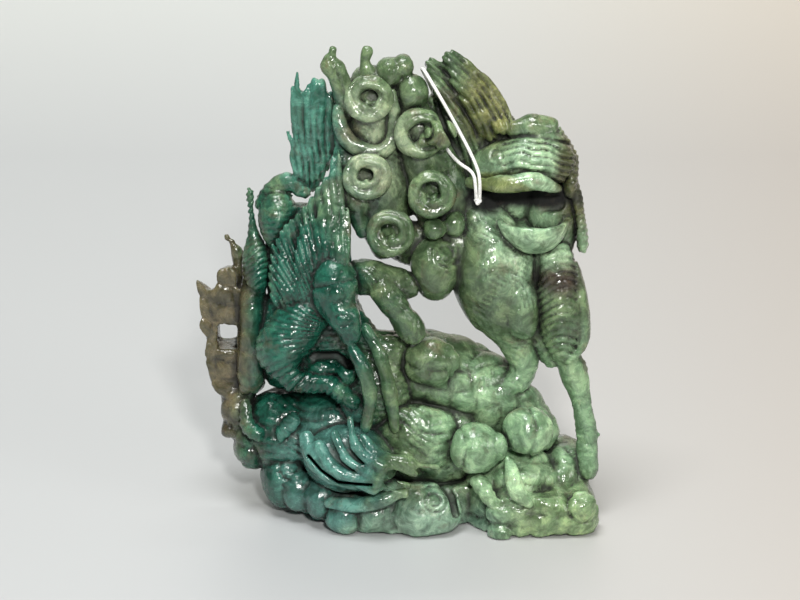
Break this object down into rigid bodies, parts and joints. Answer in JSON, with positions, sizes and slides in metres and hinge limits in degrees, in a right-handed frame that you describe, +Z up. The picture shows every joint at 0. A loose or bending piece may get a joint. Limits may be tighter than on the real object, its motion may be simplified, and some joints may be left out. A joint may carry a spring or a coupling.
{
  "type": "jade figurine",
  "caption": "Carved jade figurine of a dragon and a hoofed beast among cloud scrolls, on a pierced rock with peaches and a tag string.",
  "frame": {"origin": "centre of the base, on the surface the figurine stands on", "axes": "+Z up, +X to the right across the front, +Y towards the back"},
  "size_m": [0.1224, 0.0589, 0.1475],
  "materials": {
    "sage_stone": "polished",
    "teal_stone": "polished",
    "russet_stone": "polished",
    "white_cotton": "matte"
  },
  "bodies": {
    "root": {"back_boulders": "sage_stone", "base_rock": "sage_stone", "beast_chest": "sage_stone", "beast_crest": "sage_stone", "beast_foreleg": "sage_stone", "beast_haunch": "sage_stone", "beast_hock": "sage_stone", "beast_hoof": "sage_stone", "beast_jaw": "sage_stone", "beast_lip": "sage_stone", "beast_skull": "sage_stone", "beast_throat": "sage_stone", "beast_trunk": "sage_stone", "cloud_band": "sage_stone", "cloud_bank": "sage_stone", "cloud_crest": "sage_stone", "cloud_edge": "sage_stone", "cloud_knobs": "sage_stone", "cloud_leaf": "sage_stone", "cloud_scroll_1": "sage_stone", "cloud_scroll_2": "sage_stone", "cloud_scroll_3": "sage_stone", "cloud_scroll_4": "sage_stone", "cloud_scroll_5": "sage_stone", "cloud_scrolls_back": "sage_stone", "crag_foot": "russet_stone", "crag_wall": "russet_stone", "dragon_back": "teal_stone", "dragon_beard": "teal_stone", "dragon_chest": "teal_stone", "dragon_claw": "teal_stone", "dragon_coil": "teal_stone", "dragon_foreleg": "sage_stone", "dragon_head": "teal_stone", "dragon_shoulder": "teal_stone", "dragon_trunk": "teal_stone", "feather_bed": "teal_stone", "feathers_lower": "teal_stone", "feathers_upper": "teal_stone", "front_boulders": "sage_stone", "fungus_left": "sage_stone", "left_boulders": "teal_stone", "left_curl": "teal_stone", "mane_bed": "teal_stone", "mane_front": "teal_stone", "mane_middle": "teal_stone", "mane_rear": "teal_stone", "mound_face": "sage_stone", "mound_left": "teal_stone", "mound_ridge": "sage_stone", "nape_fringe": "sage_stone", "peach_leaf": "sage_stone", "peach_left": "sage_stone", "peach_right": "sage_stone", "right_bank": "sage_stone", "right_boulders": "sage_stone", "string_knot": "white_cotton", "tag_string": "white_cotton", "tail_bulb": "teal_stone", "tail_fin": "teal_stone"}
  },
  "joints": []
}
